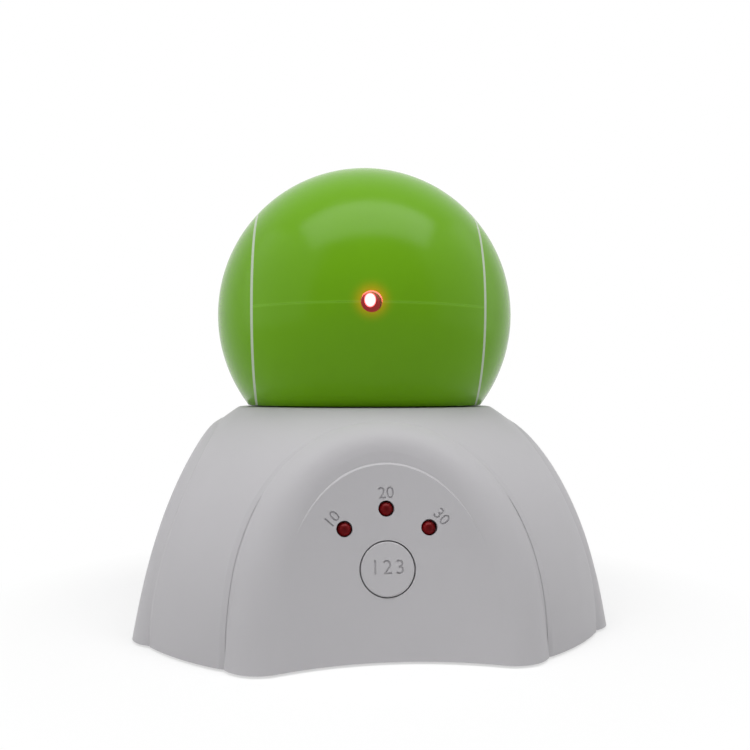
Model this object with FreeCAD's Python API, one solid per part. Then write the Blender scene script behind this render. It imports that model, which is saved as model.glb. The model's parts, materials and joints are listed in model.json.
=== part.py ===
import FreeCAD, Part
import math
import os

# Automatic cat laser toy: a domed four-lobed base with a ball-shaped head that turns on it.
# Millimetres. +Z is up, -Y is the front, and the origin is on the table under the head's axis.

V = FreeCAD.Vector
UP = V(0, 0, 1)
ORIGIN = V(0, 0, 0)

# Base dome and plateau
DOME_R = 57.5
DOME_CENTRE_Z = 0.9
PLATEAU_Z = 49.3
PLATEAU_ROUND = 1.6
WALL = 2.0
SHELL_BOTTOM_Z = 0.5

# Lobes: an arch drawn in the lobe's own front view, with a hollow front and a rolled border
ARCH_HALF_WIDTH = 32.4
ARCH_HEIGHT = 47.1
ARCH_HEIGHT_POWER = 2.7
ARCH_WIDTH_POWER = 2.0
LOBE_FRONT = 47.4
LOBE_LEAN = 10.6
LOBE_HOLLOW_R = 56.0
ROLL_R = 7.8
LOBE_SEAT = 2.2
GROOVE_INSET = 1.0
GROOVE_DEPTH = 0.35
GROOVE_SLOPE_WIDTH = 1.3
GROOVE_SLOPE_DROP = 0.3
PAD_HALF_WIDTH = 22.2
PAD_HEIGHT = 38.5
PAD_START_Z = 21.6
PAD_LEAN = 1.4
PAD_CHAMFER = 0.35

# Control panel on the front lobe, places measured across and up the panel
PANEL_LEAN = 11.5
PANEL_FRONT = 47.6
BUTTON_Z = 17.8
BUTTON_R = 5.4
BUTTON_GAP = 0.2
LAMP_R = 1.5
LAMP_HOLE_R = 1.62
LAMP_PLACES = {"left": (-8.5, 25.6), "middle": (0.0, 29.4), "right": (8.5, 25.6)}
BOARD_DEPTH = 9.5
BOARD_THICK = 1.6
BOARD_HALF_WIDTH = 17.0
BOARD_POST_X = 14.0
BOARD_POST_ZS = (11.0, 31.0)
SLEEVE_R = 6.6
BUTTON_PROUD = 0.25
LAMP_PROUD = 0.25

# Base plate, feet and battery box
PLATE_BOTTOM_Z = 1.0
PLATE_TOP_Z = 3.6
PLATE_FIT = 0.25
FOOT_R = 4.5
FOOT_POCKET_TOP_Z = 2.0
FOOT_PLACES = [(40, 20), (-40, 20), (-40, -20), (40, -20)]
BOSS_AT = 32.5
BOSS_R = 3.2
CELL_R = 7.15
CELL_LENGTH = 49.3
CELL_NUB = 1.2
CELL_PITCH = 15.2
CELL_Z = 10.4
CONTACT_THICK = 0.4
SCREW_R = 0.9
SCREW_HEAD_R = 2.2
BOX_HALF_X = 28.5
BOX_HALF_Y = 22.9
BOX_WALL = 1.5
BOX_ROOF_Z = 19.6
DOOR_TOP_Z = 2.4
DOOR_GAP = 0.3
DOOR_SCREW_X = 34.2
DOOR_LAP = 1.7
DOOR_EAR_R = 4.2

# Drive that turns the head
MODULE = 0.5
PRESSURE_ANGLE = 20.0
BACKLASH = 0.14
MESH_PLAY = 0.05
TURNTABLE_TEETH = 60
WHEEL_TEETH = 40
PINION_TEETH = 12
CHASSIS_Z = 33.4
CHASSIS_TOP_Z = 35.0
CHASSIS_R = 31.0
CHASSIS_POSTS = [(26.3, 9.6), (22.9, -16.1), (-14.0, -24.2), (7.2, 27.0)]
GEAR_PIN_R = 1.0
RUNNING_GAP = 0.05
B_DIRECTION = 160.0
A_DIRECTION = 100.0
MOTOR_DIRECTION = 10.0
PAN_MOTOR_LENGTH = 13.0
MOTOR_SHAFT_R = 0.75
WIRE_R = 0.5
ADDENDUM = 0.8
DEDENDUM = 1.15
WHEEL_A_Z = 36.0
WHEEL_B_Z = 38.7
GEAR_Z = 42.2
PIN_TOP_Z = 46.4
DISC_Z = 36.9
TRACK_RS = (6.6, 8.7, 10.8)

# Head
HEAD_R = 36.15
HEAD_Z = 71.5
HEAD_WALL = 2.0
HEAD_BOTTOM_Z = 49.6
HEAD_FLOOR_Z = 51.9
HEAD_YAW = -3.6
BAND_HALF = 25.45
RING_WIDTH = 0.6
RING_STEP = 0.15
RING_INNER_R = 21.6
HUB_R = 8.0
HUB_BORE_R = 3.2
HUB_STEP_Z = 41.2
HUB_SCREW_END_Z = 50.2
HEAD_WEB_Z = 66.7
SPIGOT_R = 5.0
HEAD_POST_PLACES = [(18.5, 17.5), (-18.5, 17.5), (-18.5, -17.5), (18.5, -17.5)]
LASER_HOLE_R = 2.25

# Laser and its tilt drive, in the head's own frame
PIVOT_Y = -31.0
LASER_REST_TILT = 8.0
BARREL_R = 3.0
BARREL_FRONT_Y = -27.5
BARREL_LENGTH = 12.0
SECTOR_TEETH = 80
SECTOR_SPAN = (65.0, 97.0)
ARM_INNER_X = 5.0
ARM_OUTER_X = 6.8
PIVOT_PIN_R = 1.0
PIVOT_PIN_X = 9.2
LUG_OUTER_X = 9.4
GEARBOX_X = 3.8
TILT_SHAFT_R = 1.5


def box(x0, x1, y0, y1, z0, z1):
    return Part.makeBox(x1 - x0, y1 - y0, z1 - z0, V(x0, y0, z0))


def post(r, z0, z1, x=0.0, y=0.0):
    return Part.makeCylinder(r, z1 - z0, V(x, y, z0), UP)


def pipe(r_out, r_in, z0, z1, x=0.0, y=0.0):
    return post(r_out, z0, z1, x, y).cut(post(r_in, z0 - 1, z1 + 1, x, y))


def rod(r, start, direction, length):
    return Part.makeCylinder(r, length, start, direction)


def join(shapes):
    result = shapes[0]
    if len(shapes) > 1:
        result = shapes[0].fuse(shapes[1:])
    return result.removeSplitter()


def drop(shape, tools):
    return shape.cut(tools)


def turned(shape, angle, centre=ORIGIN, axis=UP):
    result = shape.copy()
    result.rotate(centre, axis, angle)
    return result


def four_ways(shape):
    return [turned(shape, 90 * k) for k in range(4)]


def polar(length, angle):
    return V(length * math.cos(math.radians(angle)), length * math.sin(math.radians(angle)), 0)


# ---------------------------------------------------------------- base shell

def arch_point(angle, half_width, height):
    across = math.cos(angle)
    x = math.copysign(half_width * abs(across) ** (2 / ARCH_WIDTH_POWER), across)
    return V(x, 0, height * abs(math.sin(angle)) ** (2 / ARCH_HEIGHT_POWER))


def arch_prism(half_width, height, y_back, y_front, z_low=0.0):
    """An arch drawn in the front view and pushed forwards from y_back to y_front."""
    steps = 24
    points = [arch_point(math.pi * k / steps, half_width, height) for k in range(steps + 1)]
    points[0].z = 0.0
    points[-1].z = 0.0
    curve = Part.BSplineCurve()
    curve.interpolate(Points=points, InitialTangent=UP, FinalTangent=-UP)
    wire = Part.Wire([curve.toShape(), Part.LineSegment(points[-1], points[0]).toShape()])
    prism = Part.Face(wire).extrude(V(0, y_front - y_back, 0))
    prism.translate(V(0, y_back, 0))
    if z_low > 0:
        prism = prism.common(box(-60, 60, -80, 10, z_low, 60))
    return prism


def lobe_prism(inset, y_back, y_front):
    return arch_prism(ARCH_HALF_WIDTH - inset, ARCH_HEIGHT - inset, y_back, y_front)


def lobe_front_point(z):
    return V(0, -(LOBE_FRONT - z * math.tan(math.radians(LOBE_LEAN))), z)


def leaning_cylinder(lean, touch_z, grow=0.0):
    """A cylinder in front of the lobe that touches its front at touch_z and leans back with it."""
    up = V(0, math.sin(math.radians(lean)), math.cos(math.radians(lean)))
    outwards = V(0, -up.z, up.y)
    axis_point = lobe_front_point(touch_z) + outwards * LOBE_HOLLOW_R
    return rod(LOBE_HOLLOW_R + grow, axis_point - up * 60, up, 150)


def lobe_block(offset):
    block = lobe_prism(offset, 0, -62).cut(leaning_cylinder(LOBE_LEAN, 0, offset))
    return block.makeFillet(ROLL_R - offset, edges_between(block, "Cylinder", "SurfaceOfExtrusion"))


def edges_between(shape, first, second):
    """Long edges between a face of the first kind and one of the second."""
    found = []
    for edge in shape.Edges:
        kinds = {type(face.Surface).__name__ for face in shape.Faces if has_edge(face, edge)}
        if kinds == {first, second} and edge.Length > 30:
            found.append(edge)
    return found


def has_edge(face, edge):
    return any(other.isSame(edge) for other in face.Edges)


def dome(offset, top):
    ball = Part.makeSphere(DOME_R - offset, V(0, 0, DOME_CENTRE_Z))
    ball = ball.common(box(-70, 70, -70, 70, 0, top))
    rims = [edge for edge in ball.Edges if abs(edge.BoundBox.ZMin - top) < 0.01 and edge.Length > 50]
    return ball.makeFillet(max(PLATEAU_ROUND - offset / 2, 0.4), rims)


def base_form(offset, top, seat=LOBE_SEAT):
    """The outer form of the base, or with an offset the form of its cavity."""
    form = dome(offset, top)
    form = drop(form, four_ways(lobe_prism(offset + seat, -18, -62)))
    if offset == 0:
        form = grooved(form)
    return join([form] + four_ways(lobe_block(offset)))


def grooved(form):
    """Lowers a strip of the dome round each lobe and slopes its outer side."""
    strip = lobe_prism(GROOVE_INSET, -20, -62).cut(lobe_prism(LOBE_SEAT + 0.1, -19, -63))
    strip = strip.cut(Part.makeSphere(DOME_R - GROOVE_DEPTH, V(0, 0, DOME_CENTRE_Z)))
    form = drop(form, four_ways(strip))
    rims = []
    for edge in edges_between(form, "Sphere", "SurfaceOfExtrusion"):
        middle = edge.valueAt((edge.FirstParameter + edge.LastParameter) / 2)
        if abs(middle.distanceToPoint(V(0, 0, DOME_CENTRE_Z)) - DOME_R) < 0.02:
            rims.append(edge)
    return form.makeChamfer(GROOVE_SLOPE_WIDTH, GROOVE_SLOPE_DROP, rims)


def raised_pad():
    """The slightly raised panel on the upper part of a lobe's front, inside a smaller arch."""
    arch = arch_prism(PAD_HALF_WIDTH, PAD_HEIGHT, -20, -62, PAD_START_Z - 3)
    pad = arch.cut(leaning_cylinder(LOBE_LEAN - PAD_LEAN, PAD_START_Z))
    return pad.makeChamfer(PAD_CHAMFER, edges_between(pad, "Cylinder", "SurfaceOfExtrusion"))


def panel_normal():
    lean = math.radians(PANEL_LEAN)
    return V(0, -math.cos(lean), math.sin(lean))


def panel_point(x, z, depth=0.0):
    face = V(x, -(PANEL_FRONT - z * math.tan(math.radians(PANEL_LEAN))), z)
    return face - panel_normal() * depth


def panel_rod(r, x, z, depth_in, depth_out):
    """A rod along the panel's normal, from depth_in behind the panel out to depth_out."""
    return rod(r, panel_point(x, z, depth_in), panel_normal(), depth_in - depth_out)


def on_panel(shape):
    """Places a shape drawn with y as the depth behind the panel and z as the way up along it."""
    placed = turned(shape, -PANEL_LEAN, ORIGIN, V(1, 0, 0))
    placed.translate(V(0, -PANEL_FRONT, 0))
    return placed


def panel_spot(x, depth, up):
    """World place of a point given across, behind and up along the panel."""
    return on_panel(Part.Vertex(V(x, depth, up))).Point


def along_panel(z):
    return z / math.cos(math.radians(PANEL_LEAN))


def corners(distance):
    return [(sx * distance, sy * distance) for sx in (-1, 1) for sy in (-1, 1)]


def board_posts():
    return [(sx * BOARD_POST_X, z) for sx in (-1, 1) for z in BOARD_POST_ZS]


def base_shell():
    outer = join([base_form(0, PLATEAU_Z)] + four_ways(raised_pad()))
    shell = outer.cut(base_form(WALL, PLATEAU_Z - WALL))
    adds = [post(BOSS_R, PLATE_TOP_Z, 40, x, y) for x, y in corners(BOSS_AT)]
    adds += [post(3.0, CHASSIS_TOP_Z, PLATEAU_Z - 1, x, y) for x, y in CHASSIS_POSTS]
    adds += [panel_rod(SLEEVE_R + 1.2, 0, BUTTON_Z, 5.0, 0.5)]
    adds += [panel_rod(1.9, x, z, BOARD_DEPTH, 0.3) for x, z in board_posts()]
    adds += [post(2.2, PIN_TOP_Z - 0.8, PLATEAU_Z - 1, p.x, p.y) for p in pin_places()]
    shell = join([shell] + [add.common(outer) for add in adds])
    cuts = [post(SCREW_R, PLATE_TOP_Z - 1, 12, x, y) for x, y in corners(BOSS_AT)]
    cuts += [post(SCREW_R, CHASSIS_TOP_Z - 1, 42, x, y) for x, y in CHASSIS_POSTS]
    cuts += [panel_rod(BUTTON_R + BUTTON_GAP, 0, BUTTON_Z, 8, -4)]
    cuts += [panel_rod(SLEEVE_R, 0, BUTTON_Z, 6, WALL + 0.1)]
    cuts += [panel_rod(LAMP_HOLE_R, x, z, 4, -4) for x, z in LAMP_PLACES.values()]
    cuts += [panel_rod(0.8, x, z, BOARD_DEPTH + 1, 4) for x, z in board_posts()]
    cuts += [post(GEAR_PIN_R, PIN_TOP_Z - 3, PIN_TOP_Z, p.x, p.y) for p in pin_places()]
    cuts += [post(HUB_R + RUNNING_GAP, 30, 60)]
    cuts += [box(-70, 70, -70, 70, -5, SHELL_BOTTOM_Z)]
    return drop(shell, cuts)


# ---------------------------------------------------------------- fasteners and small shared shapes

def screw(x, y, z_head, length, head_h=1.1, shaft_r=SCREW_R):
    """A cross-head screw whose thread points up from z_head; its head hangs below."""
    under = z_head - head_h
    head = post(SCREW_HEAD_R, under, z_head, x, y)
    body = join([head, post(shaft_r, z_head, z_head + length, x, y)])
    cross = [box(x - 1.2, x + 1.2, y - 0.3, y + 0.3, under - 1, under + head_h / 2),
             box(x - 0.3, x + 0.3, y - 1.2, y + 1.2, under - 1, under + head_h / 2)]
    return drop(body, cross)


def wire_run(points, r, bend):
    """A wire along straight runs joined by tangent arcs."""
    edges = []
    start = points[0]
    for before, corner, after in zip(points, points[1:], points[2:]):
        back = (before - corner).normalize()
        forth = (after - corner).normalize()
        half = back.getAngle(forth) / 2
        reach = bend / math.tan(half)
        entry = corner + back * reach
        leave = corner + forth * reach
        towards = (back + forth).normalize()
        middle = corner + towards * (bend / math.sin(half) - bend)
        edges.append(Part.LineSegment(start, entry).toShape())
        edges.append(Part.Arc(entry, middle, leave).toShape())
        start = leave
    edges.append(Part.LineSegment(start, points[-1]).toShape())
    ring = Part.Wire([Part.Circle(points[0], points[1] - points[0], r).toShape()])
    return Part.Wire(edges).makePipeShell([ring], True, False)


def coil_spring(r, wire_r, pitch, turns):
    """A coil whose turns are short straight runs."""
    runs = 12
    count = runs * turns
    points = [polar(r, 360 * k / runs) + UP * (pitch * k / runs) for k in range(count + 1)]
    ring = Part.Wire([Part.Circle(points[0], points[1] - points[0], wire_r).toShape()])
    return Part.makePolygon(points).makePipeShell([ring], True, False, 1)


# ---------------------------------------------------------------- gears

def involute(angle):
    return math.tan(angle) - angle


def gear_outline(teeth, phase):
    """Corner points of a spur gear with one tooth centred at the phase angle."""
    pitch_r = MODULE * teeth / 2
    base_r = pitch_r * math.cos(math.radians(PRESSURE_ANGLE))
    tip_r = pitch_r + ADDENDUM * MODULE
    root_r = pitch_r - DEDENDUM * MODULE
    half_pitch = math.pi / (2 * teeth) - BACKLASH / (2 * pitch_r)
    flank_start = max(base_r, root_r)
    flank = []
    for k in range(5):
        r = flank_start + (tip_r - flank_start) * k / 4
        roll = math.acos(min(1, base_r / r))
        flank.append((r, half_pitch + involute(math.radians(PRESSURE_ANGLE)) - involute(roll)))
    if root_r < flank_start:
        flank.insert(0, (root_r, flank[0][1]))
    points = []
    for tooth in range(teeth):
        centre = math.radians(phase) + 2 * math.pi * tooth / teeth
        sides = [(r, centre - half) for r, half in flank] + [(r, centre + half) for r, half in reversed(flank)]
        points += [V(r * math.cos(angle), r * math.sin(angle), 0) for r, angle in sides]
    return points


def gear(teeth, phase, z0, z1, centre=ORIGIN):
    points = gear_outline(teeth, phase)
    wheel = Part.Face(Part.makePolygon(points + [points[0]])).extrude(V(0, 0, z1 - z0))
    wheel.translate(V(centre.x, centre.y, z0))
    return wheel


def mesh_distance(teeth_1, teeth_2):
    return MODULE * (teeth_1 + teeth_2) / 2 + MESH_PLAY


def mesh_phase(phase_1, teeth_1, teeth_2, direction):
    """Phase that puts a gap of gear 2 on the tooth of gear 1, seen along the line of centres."""
    return direction + 180 + 180 / teeth_2 - teeth_1 / teeth_2 * (phase_1 - direction)


def gear_b_centre():
    return polar(mesh_distance(TURNTABLE_TEETH, PINION_TEETH), B_DIRECTION)


def gear_a_centre():
    return gear_b_centre() + polar(mesh_distance(WHEEL_TEETH, PINION_TEETH), A_DIRECTION)


def pin_places():
    return [gear_b_centre(), gear_a_centre()]


def pan_motor_centre():
    return gear_a_centre() + polar(mesh_distance(WHEEL_TEETH, PINION_TEETH), MOTOR_DIRECTION)


def phase_b():
    return mesh_phase(HEAD_YAW, TURNTABLE_TEETH, PINION_TEETH, B_DIRECTION)


def phase_a():
    return mesh_phase(phase_b(), WHEEL_TEETH, PINION_TEETH, A_DIRECTION)


def phase_motor():
    return mesh_phase(phase_a(), WHEEL_TEETH, PINION_TEETH, MOTOR_DIRECTION)


def compound_gear(centre, phase, wheel_z, pinion_top):
    pieces = [gear(WHEEL_TEETH, phase, wheel_z, wheel_z + 2, centre),
              gear(PINION_TEETH, phase, wheel_z + 2, pinion_top, centre),
              post(2.0, CHASSIS_TOP_Z + 0.1, wheel_z, centre.x, centre.y)]
    return join(pieces).cut(post(GEAR_PIN_R + RUNNING_GAP, 30, 50, centre.x, centre.y))


def compound_gear_a():
    return compound_gear(gear_a_centre(), phase_a(), WHEEL_A_Z, 41.2)


def compound_gear_b():
    return compound_gear(gear_b_centre(), phase_b(), WHEEL_B_Z, 45.3)


def turntable_gear():
    return gear(TURNTABLE_TEETH, HEAD_YAW, GEAR_Z, GEAR_Z + 3).cut(post(HUB_R, 40, 47))


def motor_pinion():
    centre = pan_motor_centre()
    pinion = gear(PINION_TEETH, phase_motor(), 35.6, 38.3, centre)
    return pinion.cut(post(MOTOR_SHAFT_R, 30, 40, centre.x, centre.y))


def pan_motor_shaft():
    centre = pan_motor_centre()
    return post(MOTOR_SHAFT_R, CHASSIS_Z - 5, 38.8, centre.x, centre.y)


# ---------------------------------------------------------------- base plate, feet and battery box

def door_outline(gap, z0, z1):
    half_x = BOX_HALF_X + DOOR_LAP + gap
    half_y = BOX_HALF_Y + DOOR_LAP + gap
    ear = DOOR_EAR_R + gap
    pieces = [box(-half_x, half_x, -half_y, half_y, z0, z1)]
    pieces += [box(-DOOR_SCREW_X, DOOR_SCREW_X, -ear, ear, z0, z1)]
    pieces += [post(ear, z0, z1, side * DOOR_SCREW_X) for side in (-1, 1)]
    return join(pieces)


def base_plate():
    slab = base_form(WALL + PLATE_FIT, PLATEAU_Z - 4, LOBE_SEAT - PLATE_FIT)
    slab = slab.common(box(-70, 70, -70, 70, PLATE_BOTTOM_Z, PLATE_TOP_Z))
    half_x = BOX_HALF_X + BOX_WALL
    half_y = BOX_HALF_Y + BOX_WALL
    pieces = [slab, box(-half_x, half_x, -half_y, half_y, PLATE_TOP_Z, BOX_ROOF_Z)]
    pieces += [post(3.0, PLATE_TOP_Z, 10, side * DOOR_SCREW_X) for side in (-1, 1)]
    plate = join(pieces)
    cuts = [box(-BOX_HALF_X, BOX_HALF_X, -BOX_HALF_Y, BOX_HALF_Y, 0, BOX_ROOF_Z - BOX_WALL)]
    cuts += [door_outline(DOOR_GAP, 0, DOOR_TOP_Z)]
    cuts += [post(SCREW_R, 0, 9, side * DOOR_SCREW_X) for side in (-1, 1)]
    cuts += [post(SCREW_R, 0, 5, x, y) for x, y in corners(BOSS_AT)]
    cuts += [post(2.6, 0, 2.4, x, y) for x, y in corners(BOSS_AT)]
    cuts += [post(FOOT_R, 0, FOOT_POCKET_TOP_Z, x, y) for x, y in FOOT_PLACES]
    return drop(plate, cuts)


def rubber_feet():
    feet = []
    for x, y in FOOT_PLACES:
        foot = post(FOOT_R, 0, FOOT_POCKET_TOP_Z, x, y)
        sole = [edge for edge in foot.Edges if edge.BoundBox.ZMax < 0.01]
        feet.append(foot.makeFillet(0.5, sole))
    return Part.makeCompound(feet)


def base_screws():
    return Part.makeCompound([screw(x, y, 2.4, 8.5) for x, y in corners(BOSS_AT)])


def battery_door():
    door = door_outline(0, PLATE_BOTTOM_Z, DOOR_TOP_Z)
    cuts = [post(SCREW_R - RUNNING_GAP, 0, 5, side * DOOR_SCREW_X) for side in (-1, 1)]
    cuts += [post(2.4, 0, 1.7, side * DOOR_SCREW_X) for side in (-1, 1)]
    cuts += [box(-9, 9, y - 0.4, y + 0.4, 0, 1.4) for y in (-18.5, -17.0, -15.5)]
    return drop(door, cuts)


def door_screws():
    shaft_r = SCREW_R - RUNNING_GAP
    return Part.makeCompound([screw(side * DOOR_SCREW_X, 0, 1.7, 6.3, 0.6, shaft_r) for side in (-1, 1)])


def cell_way(number):
    """Place across the box and direction of the plus end of a cell."""
    return (number - 2) * CELL_PITCH, 1 if number != 2 else -1


def cell_end(way):
    return way * (BOX_HALF_X - CONTACT_THICK)


def aa_cell(number):
    y, way = cell_way(number)
    tip = cell_end(way)
    along = V(-way, 0, 0)
    nub = rod(2.7, V(tip, y, CELL_Z), along, CELL_NUB)
    body = rod(CELL_R, V(tip - way * CELL_NUB, y, CELL_Z), along, CELL_LENGTH)
    rims = [edge for edge in body.Edges if edge.Length > 40 and type(edge.Curve).__name__ == "Circle"]
    return join([body.makeFillet(0.6, rims), nub])


def battery_springs():
    springs = []
    for number in (1, 2, 3):
        y, way = cell_way(number)
        gap = 2 * (BOX_HALF_X - CONTACT_THICK) - CELL_NUB - CELL_LENGTH
        turns = 4
        coil = coil_spring(3.0, 0.35, (gap - 0.8) / turns, turns)
        coil.rotate(ORIGIN, V(0, 1, 0), 90 * way)
        coil.translate(V(-way * (BOX_HALF_X - CONTACT_THICK - 0.4), y, CELL_Z))
        springs.append(coil)
    return Part.makeCompound(springs)


def battery_contacts():
    plates = []
    for side, spans in ((1, ((-21, 6), (9.5, 21))), (-1, ((-21, -9.5), (-6, 21)))):
        inner = side * (BOX_HALF_X - CONTACT_THICK)
        outer = side * BOX_HALF_X
        plates += [box(min(inner, outer), max(inner, outer), y0, y1, 5, 16) for y0, y1 in spans]
    return Part.makeCompound(plates)


# ---------------------------------------------------------------- control board, lamps and button

def board_raw():
    board = box(-BOARD_HALF_WIDTH, BOARD_HALF_WIDTH, BOARD_DEPTH, BOARD_DEPTH + BOARD_THICK, 7.4, 34)
    return on_panel(board)


def control_board():
    holes = [panel_rod(0.8, x, z, BOARD_DEPTH + 5, 0) for x, z in board_posts()]
    return drop(board_raw(), holes + [lamp_leads()])


def board_screws():
    screws = []
    for x, z in board_posts():
        head = panel_rod(1.6, x, z, BOARD_DEPTH + BOARD_THICK + 0.9, BOARD_DEPTH + BOARD_THICK)
        shaft = panel_rod(0.8, x, z, BOARD_DEPTH + BOARD_THICK, 4.5)
        screws.append(join([head, shaft]))
    return Part.makeCompound(screws)


def lamp_front(x, z):
    """Depth of a lamp's tip, a little proud of the raised and slightly hollow panel."""
    hollow = LOBE_HOLLOW_R - math.sqrt(LOBE_HOLLOW_R ** 2 - x * x)
    pad_lean = math.radians(LOBE_LEAN - PAD_LEAN)
    pad_y = lobe_front_point(PAD_START_Z).y + (z - PAD_START_Z) * math.tan(pad_lean)
    rise = (panel_point(0, z).y - pad_y) * math.cos(math.radians(PANEL_LEAN))
    return -LAMP_PROUD - hollow - rise


def indicator_lamp(name):
    x, z = LAMP_PLACES[name]
    tip = lamp_front(x, z)
    up = along_panel(z)
    ball = Part.makeSphere(LAMP_R, V(x, tip + LAMP_R, up))
    barrel = rod(LAMP_R, V(x, tip + LAMP_R, up), V(0, 1, 0), 2.9)
    flange = rod(1.9, V(x, tip + LAMP_R + 2.9, up), V(0, 1, 0), 0.9)
    return on_panel(join([ball, barrel, flange]))


def lamp_leads():
    leads = []
    for x, z in LAMP_PLACES.values():
        back = lamp_front(x, z) + LAMP_R + 3.8
        up = along_panel(z)
        end = BOARD_DEPTH + BOARD_THICK + 0.8
        for lead_x in (x - 0.9, x + 0.9):
            leads.append(box(lead_x - 0.25, lead_x + 0.25, back, end, up - 0.25, up + 0.25))
    return on_panel(Part.makeCompound(leads))


def controller_chip():
    back = BOARD_DEPTH + BOARD_THICK
    chip = box(3.5, 9, back, back + 1.5, 9, 13)
    legs = [box(4.1 + 1.27 * k, 4.5 + 1.27 * k, back, back + 0.5, 8, 14) for k in range(4)]
    return on_panel(join([chip] + legs))


def tact_switch():
    up = along_panel(BUTTON_Z)
    body = box(-3, 3, 6.0, BOARD_DEPTH, up - 3, up + 3)
    return on_panel(body.cut(rod(1.75, V(0, 5, up), V(0, 1, 0), 3.3)))


def switch_plunger():
    return on_panel(rod(1.7, V(0, 4.9, along_panel(BUTTON_Z)), V(0, 1, 0), 2.3))


def mode_button():
    up = along_panel(BUTTON_Z)
    cap = rod(BUTTON_R, V(0, -BUTTON_PROUD, up), V(0, 1, 0), BUTTON_PROUD + 3.2)
    rims = [edge for edge in cap.Edges if edge.Length > 30 and edge.BoundBox.YMax < 0.1]
    cap = cap.makeFillet(0.3, rims)
    flange = rod(SLEEVE_R - 0.3, V(0, 2.45, up), V(0, 1, 0), 0.75)
    stem = rod(1.5, V(0, 3.2, up), V(0, 1, 0), 1.7)
    return on_panel(join([cap, flange, stem]))


# ---------------------------------------------------------------- chassis and pan drive

def motor_box(z0, z1, grow_x=0.0, grow_y=0.0):
    centre = pan_motor_centre()
    half_x = 6 + grow_x
    half_y = 5 + grow_y
    return box(centre.x - half_x, centre.x + half_x, centre.y - half_y, centre.y + half_y, z0, z1)


def chassis_plate():
    centre = pan_motor_centre()
    plate = post(CHASSIS_R, CHASSIS_Z, CHASSIS_TOP_Z)
    cradle = motor_box(CHASSIS_Z - 8, CHASSIS_Z, 0, 1.3).cut(motor_box(CHASSIS_Z - 9, CHASSIS_Z, 1, 0))
    cuts = [post(GEAR_PIN_R, 30, 40, p.x, p.y) for p in pin_places()]
    cuts += [post(SCREW_R, 30, 40, x, y) for x, y in CHASSIS_POSTS]
    cuts += [post(2.2, 30, 40, centre.x, centre.y)]
    cuts += [post(5.6, 30, 40), brush_leg()]
    return drop(join([plate, cradle]), cuts)


def chassis_screws():
    return Part.makeCompound([screw(x, y, CHASSIS_Z, 7) for x, y in CHASSIS_POSTS])


def gear_pins():
    return Part.makeCompound([post(GEAR_PIN_R, CHASSIS_Z, PIN_TOP_Z, p.x, p.y) for p in pin_places()])


def pan_motor():
    centre = pan_motor_centre()
    can = rod(6, V(centre.x, centre.y, CHASSIS_Z - PAN_MOTOR_LENGTH), UP, PAN_MOTOR_LENGTH)
    can = can.common(motor_box(0, CHASSIS_Z))
    nose = post(2.0, CHASSIS_Z, CHASSIS_Z + 0.9, centre.x, centre.y)
    return join([can, nose]).cut(post(MOTOR_SHAFT_R + RUNNING_GAP, CHASSIS_Z - 5.5, 40, centre.x, centre.y))


def brush_leg():
    return box(7, 11, -5.4, -3, CHASSIS_Z - 1, CHASSIS_TOP_Z + 0.9)


def brush_block():
    return join([box(5.8, 12.4, -3, 3, CHASSIS_TOP_Z, CHASSIS_TOP_Z + 0.9), brush_leg()])


def slip_brushes():
    blades = []
    for r in TRACK_RS:
        foot = box(r - 0.3, r + 0.3, -2.4, -1.6, CHASSIS_TOP_Z + 0.9, CHASSIS_TOP_Z + 1.2)
        arm = Part.makePolygon([V(0, -2.4, CHASSIS_TOP_Z + 0.9), V(0, -2.0, CHASSIS_TOP_Z + 0.9),
                                V(0, 1.6, DISC_Z - 0.35), V(0, 1.6, DISC_Z - 0.16), V(0, 1.0, DISC_Z - 0.16),
                                V(0, -2.4, CHASSIS_TOP_Z + 0.9)])
        blade = Part.Face(arm).extrude(V(0.6, 0, 0))
        blade.translate(V(r - 0.3, 0, 0))
        blades.append(join([foot, blade]))
    return Part.makeCompound(blades)


def glide_ring():
    return pipe(15, 9, PLATEAU_Z, HEAD_BOTTOM_Z - RUNNING_GAP)


def base_wires():
    motor_front = pan_motor_centre().y - 5
    runs = []
    for x in (-8.5, -4.5):
        start = panel_spot(x, BOARD_DEPTH + BOARD_THICK + 0.1, 11.5)
        route = [start, V(x, -27, start.z), V(x, -27, 23.5), V(x, motor_front, 23.5)]
        runs.append(wire_run(route, WIRE_R, 1.8))
    for x in (8.0, 10.0):
        start = panel_spot(x, BOARD_DEPTH + BOARD_THICK + 0.1, 24)
        runs.append(wire_run([start, V(x, -4.2, start.z), V(x, -4.2, CHASSIS_Z - 1)], WIRE_R, 1.8))
    return Part.makeCompound(runs)


# ---------------------------------------------------------------- head

def yawed(shape):
    return turned(shape, HEAD_YAW)


def ball(r):
    return Part.makeSphere(r, V(0, 0, HEAD_Z))


def ball_skin():
    return ball(HEAD_R).cut(ball(HEAD_R - HEAD_WALL))


def between(x0, x1, z0, z1):
    return box(x0, x1, -50, 50, z0, z1)


def laser_hole():
    return rod(LASER_HOLE_R, V(0, -50, HEAD_Z), V(0, 1, 0), 30)


def band_upper_shell():
    skin = ball_skin().common(between(-BAND_HALF, BAND_HALF, HEAD_Z, 120))
    bosses = [post(2.8, HEAD_Z, 110, x, y).common(ball(HEAD_R - 1)) for x, y in HEAD_POST_PLACES]
    cuts = [post(SCREW_R, HEAD_Z - 1, HEAD_Z + 8, x, y) for x, y in HEAD_POST_PLACES] + [laser_hole()]
    return yawed(drop(join([skin] + bosses), cuts))


def pivot_lug(side):
    inner = side * (ARM_OUTER_X + 0.4)
    outer = side * LUG_OUTER_X
    lug = box(min(inner, outer), max(inner, outer), -36, -28.5, 64, HEAD_Z + 2.2)
    rounded = lug.common(ball(HEAD_R - HEAD_WALL - 0.2))
    rooted = lug.common(ball(HEAD_R - 1)).common(between(-20, 20, 60, HEAD_Z - 0.3))
    return join([rounded, rooted])


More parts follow.
